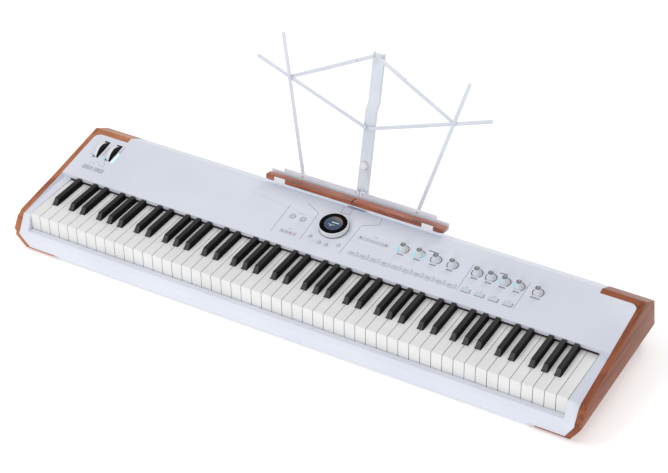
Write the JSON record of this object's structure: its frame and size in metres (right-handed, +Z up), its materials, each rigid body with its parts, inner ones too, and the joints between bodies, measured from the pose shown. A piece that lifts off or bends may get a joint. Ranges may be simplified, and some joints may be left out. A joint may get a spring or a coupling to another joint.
{
  "type": "stage keyboard",
  "caption": "Wide slim stage keyboard with wooden ends, sloping control panel with a round screen, and a folding music desk behind it.",
  "frame": {"origin": "bottom centre of the whole keyboard's box, on the surface that it stands on", "axes": "+X to the player's right along the keys, +Y from the key fronts to the back, +Z up"},
  "size_m": [1.2954, 0.4238, 0.4432],
  "materials": {
    "case_white": "satin white",
    "end_wood": "oiled red-brown",
    "ledge_wood": "glossy red-brown",
    "white_key": "satin",
    "black_key": "satin black",
    "frame_steel": "zinc plated",
    "board": "green board",
    "foot_rubber": "matt",
    "screen_glass": "black glass",
    "knob": "matt light grey",
    "wheel": "matt white",
    "button": "soft light grey",
    "desk_metal": "satin light grey"
  },
  "bodies": {
    "case": {"top_case": "case_white", "bottom_case": "case_white", "rear_panel": "case_white", "wood_end_left": "end_wood", "wood_end_right": "end_wood", "key_frame": "frame_steel", "main_board": "board", "foot_front": "foot_rubber", "foot_rear": "foot_rubber", "display_glass": "screen_glass", "desk_foot": "desk_metal"},
    "key_c4": {"key_c4": "white_key"},
    "key_d4": {"key_d4": "white_key"},
    "key_e4": {"key_e4": "white_key"},
    "key_f4": {"key_f4": "white_key"},
    "key_g4": {"key_g4": "white_key"},
    "key_a4": {"key_a4": "white_key"},
    "key_b4": {"key_b4": "white_key"},
    "key_c_sharp4": {"key_c_sharp4": "black_key"},
    "key_d_sharp4": {"key_d_sharp4": "black_key"},
    "key_f_sharp4": {"key_f_sharp4": "black_key"},
    "key_g_sharp4": {"key_g_sharp4": "black_key"},
    "key_a_sharp4": {"key_a_sharp4": "black_key"},
    "white_keys_low": {"white_keys_low": "white_key"},
    "white_keys_high": {"white_keys_high": "white_key"},
    "black_keys_low": {"black_keys_low": "black_key"},
    "black_keys_high": {"black_keys_high": "black_key"},
    "instrument_knob_1": {"instrument_knob_1": "knob"},
    "instrument_knob_2": {"instrument_knob_2": "knob"},
    "instrument_knob_3": {"instrument_knob_3": "knob"},
    "instrument_knob_4": {"instrument_knob_4": "knob"},
    "effect_knob_1": {"effect_knob_1": "knob"},
    "effect_knob_2": {"effect_knob_2": "knob"},
    "effect_knob_3": {"effect_knob_3": "knob"},
    "effect_knob_4": {"effect_knob_4": "knob"},
    "master_knob": {"master_knob": "knob"},
    "display_ring": {"display_ring": "case_white"},
    "pitch_wheel": {"pitch_wheel": "wheel"},
    "mod_wheel": {"mod_wheel": "wheel"},
    "octave_down_button": {"octave_down_button": "button"},
    "octave_up_button": {"octave_up_button": "button"},
    "left_keypad": {"left_keypad": "button"},
    "right_keypad": {"right_keypad": "button"},
    "effect_keypad": {"effect_keypad": "button"},
    "mast": {"mast": "desk_metal"},
    "thumb_screw": {"thumb_screw": "desk_metal"},
    "tray_right": {"tray_plate_right": "desk_metal", "tray_ledge_right": "ledge_wood"},
    "strut_right": {"strut_right": "desk_metal"},
    "arm_right": {"arm_right": "desk_metal"},
    "outer_link_right": {"outer_link_right": "desk_metal"},
    "inner_link_right": {"inner_link_right": "desk_metal"},
    "page_clip_right": {"page_clip_right": "desk_metal"},
    "tray_left": {"tray_plate_left": "desk_metal", "tray_ledge_left": "ledge_wood"},
    "strut_left": {"strut_left": "desk_metal"},
    "arm_left": {"arm_left": "desk_metal"},
    "outer_link_left": {"outer_link_left": "desk_metal"},
    "inner_link_left": {"inner_link_left": "desk_metal"},
    "page_clip_left": {"page_clip_left": "desk_metal"}
  },
  "joints": [
    {"name": "key_c4_press", "type": "hinge", "parent": "case", "child": "key_c4", "pos_m": [0, 0.00609, 0.083], "axis": [1, 0, 0], "range_deg": [0, 2.8], "stiffness_Nm_per_rad": 2, "springref_deg": -5.73},
    {"name": "key_d4_press", "type": "hinge", "parent": "case", "child": "key_d4", "pos_m": [0, 0.00609, 0.083], "axis": [1, 0, 0], "range_deg": [0, 2.8], "stiffness_Nm_per_rad": 2, "springref_deg": -5.73},
    {"name": "key_e4_press", "type": "hinge", "parent": "case", "child": "key_e4", "pos_m": [0, 0.00609, 0.083], "axis": [1, 0, 0], "range_deg": [0, 2.8], "stiffness_Nm_per_rad": 2, "springref_deg": -5.73},
    {"name": "key_f4_press", "type": "hinge", "parent": "case", "child": "key_f4", "pos_m": [0, 0.00609, 0.083], "axis": [1, 0, 0], "range_deg": [0, 2.8], "stiffness_Nm_per_rad": 2, "springref_deg": -5.73},
    {"name": "key_g4_press", "type": "hinge", "parent": "case", "child": "key_g4", "pos_m": [0, 0.00609, 0.083], "axis": [1, 0, 0], "range_deg": [0, 2.8], "stiffness_Nm_per_rad": 2, "springref_deg": -5.73},
    {"name": "key_a4_press", "type": "hinge", "parent": "case", "child": "key_a4", "pos_m": [0, 0.00609, 0.083], "axis": [1, 0, 0], "range_deg": [0, 2.8], "stiffness_Nm_per_rad": 2, "springref_deg": -5.73},
    {"name": "key_b4_press", "type": "hinge", "parent": "case", "child": "key_b4", "pos_m": [0, 0.00609, 0.083], "axis": [1, 0, 0], "range_deg": [0, 2.8], "stiffness_Nm_per_rad": 2, "springref_deg": -5.73},
    {"name": "key_c_sharp4_press", "type": "hinge", "parent": "case", "child": "key_c_sharp4", "pos_m": [0, 0.00609, 0.071], "axis": [1, 0, 0], "range_deg": [0, 2.8], "stiffness_Nm_per_rad": 1.5, "springref_deg": -5.73},
    {"name": "key_d_sharp4_press", "type": "hinge", "parent": "case", "child": "key_d_sharp4", "pos_m": [0, 0.00609, 0.071], "axis": [1, 0, 0], "range_deg": [0, 2.8], "stiffness_Nm_per_rad": 1.5, "springref_deg": -5.73},
    {"name": "key_f_sharp4_press", "type": "hinge", "parent": "case", "child": "key_f_sharp4", "pos_m": [0, 0.00609, 0.071], "axis": [1, 0, 0], "range_deg": [0, 2.8], "stiffness_Nm_per_rad": 1.5, "springref_deg": -5.73},
    {"name": "key_g_sharp4_press", "type": "hinge", "parent": "case", "child": "key_g_sharp4", "pos_m": [0, 0.00609, 0.071], "axis": [1, 0, 0], "range_deg": [0, 2.8], "stiffness_Nm_per_rad": 1.5, "springref_deg": -5.73},
    {"name": "key_a_sharp4_press", "type": "hinge", "parent": "case", "child": "key_a_sharp4", "pos_m": [0, 0.00609, 0.071], "axis": [1, 0, 0], "range_deg": [0, 2.8], "stiffness_Nm_per_rad": 1.5, "springref_deg": -5.73},
    {"name": "white_keys_low_press", "type": "hinge", "parent": "case", "child": "white_keys_low", "pos_m": [0, 0.00609, 0.083], "axis": [1, 0, 0], "range_deg": [0, 2.8], "stiffness_Nm_per_rad": 40, "springref_deg": -5.73},
    {"name": "white_keys_high_press", "type": "hinge", "parent": "case", "child": "white_keys_high", "pos_m": [0, 0.00609, 0.083], "axis": [1, 0, 0], "range_deg": [0, 2.8], "stiffness_Nm_per_rad": 40, "springref_deg": -5.73},
    {"name": "black_keys_low_press", "type": "hinge", "parent": "case", "child": "black_keys_low", "pos_m": [0, 0.00609, 0.071], "axis": [1, 0, 0], "range_deg": [0, 2.8], "stiffness_Nm_per_rad": 20, "springref_deg": -5.73},
    {"name": "black_keys_high_press", "type": "hinge", "parent": "case", "child": "black_keys_high", "pos_m": [0, 0.00609, 0.071], "axis": [1, 0, 0], "range_deg": [0, 2.8], "stiffness_Nm_per_rad": 20, "springref_deg": -5.73},
    {"name": "instrument_knob_1_turn", "type": "hinge", "parent": "case", "child": "instrument_knob_1", "pos_m": [0.149, 0.03509, 0.11792], "axis": [0, -0.1772, 0.9842], "continuous": true},
    {"name": "instrument_knob_2_turn", "type": "hinge", "parent": "case", "child": "instrument_knob_2", "pos_m": [0.1856, 0.03509, 0.11792], "axis": [0, -0.1772, 0.9842], "continuous": true},
    {"name": "instrument_knob_3_turn", "type": "hinge", "parent": "case", "child": "instrument_knob_3", "pos_m": [0.2222, 0.03509, 0.11792], "axis": [0, -0.1772, 0.9842], "continuous": true},
    {"name": "instrument_knob_4_turn", "type": "hinge", "parent": "case", "child": "instrument_knob_4", "pos_m": [0.2588, 0.03509, 0.11792], "axis": [0, -0.1772, 0.9842], "continuous": true},
    {"name": "effect_knob_1_turn", "type": "hinge", "parent": "case", "child": "effect_knob_1", "pos_m": [0.313, 0.03509, 0.11792], "axis": [0, -0.1772, 0.9842], "continuous": true},
    {"name": "effect_knob_2_turn", "type": "hinge", "parent": "case", "child": "effect_knob_2", "pos_m": [0.3433, 0.03509, 0.11792], "axis": [0, -0.1772, 0.9842], "continuous": true},
    {"name": "effect_knob_3_turn", "type": "hinge", "parent": "case", "child": "effect_knob_3", "pos_m": [0.3736, 0.03509, 0.11792], "axis": [0, -0.1772, 0.9842], "continuous": true},
    {"name": "effect_knob_4_turn", "type": "hinge", "parent": "case", "child": "effect_knob_4", "pos_m": [0.4039, 0.03509, 0.11792], "axis": [0, -0.1772, 0.9842], "continuous": true},
    {"name": "master_knob_turn", "type": "hinge", "parent": "case", "child": "master_knob", "pos_m": [0.4443, 0.03509, 0.11792], "axis": [0, -0.1772, 0.9842], "range_deg": [-150, 150]},
    {"name": "display_ring_turn", "type": "hinge", "parent": "case", "child": "display_ring", "pos_m": [-0.01, 0.03309, 0.11756], "axis": [0, -0.1772, 0.9842], "continuous": true},
    {"name": "pitch_wheel_turn", "type": "hinge", "parent": "case", "child": "pitch_wheel", "pos_m": [-0.594, 0.0451, 0.10245], "axis": [1, 0, 0], "range_deg": [-35, 35], "stiffness_Nm_per_rad": 0.02},
    {"name": "mod_wheel_turn", "type": "hinge", "parent": "case", "child": "mod_wheel", "pos_m": [-0.562, 0.0451, 0.10245], "axis": [-1, 0, 0], "range_deg": [0, 80]},
    {"name": "octave_down_button_press", "type": "slide", "parent": "case", "child": "octave_down_button", "axis": [0, 0.1772, -0.9842], "range_m": [0, 0.0008], "stiffness_N_per_m": 400, "springref_m": -0.001},
    {"name": "octave_up_button_press", "type": "slide", "parent": "case", "child": "octave_up_button", "axis": [0, 0.1772, -0.9842], "range_m": [0, 0.0008], "stiffness_N_per_m": 400, "springref_m": -0.001},
    {"name": "left_keypad_press", "type": "slide", "parent": "case", "child": "left_keypad", "axis": [0, 0.1772, -0.9842], "range_m": [0, 0.0008], "stiffness_N_per_m": 1500, "springref_m": -0.001},
    {"name": "right_keypad_press", "type": "slide", "parent": "case", "child": "right_keypad", "axis": [0, 0.1772, -0.9842], "range_m": [0, 0.0008], "stiffness_N_per_m": 2500, "springref_m": -0.001},
    {"name": "effect_keypad_press", "type": "slide", "parent": "case", "child": "effect_keypad", "axis": [0, 0.1772, -0.9842], "range_m": [0, 0.0008], "stiffness_N_per_m": 1500, "springref_m": -0.001},
    {"name": "mast_tilt", "type": "hinge", "parent": "case", "child": "mast", "pos_m": [0, 0.13376, 0.13791], "axis": [-1, 0, 0], "range_deg": [-8, 30]},
    {"name": "thumb_screw_turn", "type": "hinge", "parent": "mast", "child": "thumb_screw", "pos_m": [0, 0.14469, 0.2088], "axis": [0, -0.9774, 0.2113], "continuous": true},
    {"name": "tray_right_fold", "type": "hinge", "parent": "mast", "child": "tray_right", "pos_m": [0.008, 0.12048, 0.15408], "axis": [0, -0.9774, 0.2113], "range_deg": [0, 88]},
    {"name": "strut_right_swing", "type": "hinge", "parent": "tray_right", "child": "strut_right", "pos_m": [0.1345, 0.12243, 0.15079], "axis": [0, -0.9774, 0.2113], "range_deg": [-74.6, 0]},
    {"name": "arm_right_swing", "type": "hinge", "parent": "mast", "child": "arm_right", "pos_m": [0.006, 0.15548, 0.2923], "axis": [0, -0.9774, 0.2113], "range_deg": [0, 70.02]},
    {"name": "outer_link_right_swing", "type": "hinge", "parent": "arm_right", "child": "outer_link_right", "pos_m": [0.1875, 0.17073, 0.3515], "axis": [0, -0.9774, 0.2113], "range_deg": [0, 47.14]},
    {"name": "inner_link_right_swing", "type": "hinge", "parent": "mast", "child": "inner_link_right", "pos_m": [0.009, 0.19185, 0.4378], "axis": [0, -0.9774, 0.2113], "range_deg": [-65.36, 0]},
    {"name": "page_clip_right_flip", "type": "hinge", "parent": "tray_right", "child": "page_clip_right", "pos_m": [0.173, 0.09159, 0.15061], "axis": [-1, 0, 0], "range_deg": [0, 150]},
    {"name": "tray_left_fold", "type": "hinge", "parent": "mast", "child": "tray_left", "pos_m": [-0.008, 0.12048, 0.15408], "axis": [0, 0.9774, -0.2113], "range_deg": [0, 88]},
    {"name": "strut_left_swing", "type": "hinge", "parent": "tray_left", "child": "strut_left", "pos_m": [-0.1345, 0.12243, 0.15079], "axis": [0, 0.9774, -0.2113], "range_deg": [-74.6, 0]},
    {"name": "arm_left_swing", "type": "hinge", "parent": "mast", "child": "arm_left", "pos_m": [-0.006, 0.15548, 0.2923], "axis": [0, 0.9774, -0.2113], "range_deg": [0, 70.02]},
    {"name": "outer_link_left_swing", "type": "hinge", "parent": "arm_left", "child": "outer_link_left", "pos_m": [-0.1875, 0.17073, 0.3515], "axis": [0, 0.9774, -0.2113], "range_deg": [0, 47.14]},
    {"name": "inner_link_left_swing", "type": "hinge", "parent": "mast", "child": "inner_link_left", "pos_m": [-0.009, 0.19185, 0.4378], "axis": [0, 0.9774, -0.2113], "range_deg": [-65.36, 0]},
    {"name": "page_clip_left_flip", "type": "hinge", "parent": "tray_left", "child": "page_clip_left", "pos_m": [-0.173, 0.09159, 0.15061], "axis": [-1, 0, 0], "range_deg": [0, 150]}
  ],
  "couplings": [
    {"joint": "strut_right_swing", "follows": "tray_right_fold", "ratio": -0.842},
    {"joint": "arm_right_swing", "follows": "tray_right_fold", "ratio": 0.79},
    {"joint": "outer_link_right_swing", "follows": "tray_right_fold", "ratio": 0.53},
    {"joint": "inner_link_right_swing", "follows": "tray_right_fold", "ratio": -0.737},
    {"joint": "strut_left_swing", "follows": "tray_left_fold", "ratio": -0.842},
    {"joint": "arm_left_swing", "follows": "tray_left_fold", "ratio": 0.79},
    {"joint": "outer_link_left_swing", "follows": "tray_left_fold", "ratio": 0.53},
    {"joint": "inner_link_left_swing", "follows": "tray_left_fold", "ratio": -0.737}
  ]
}
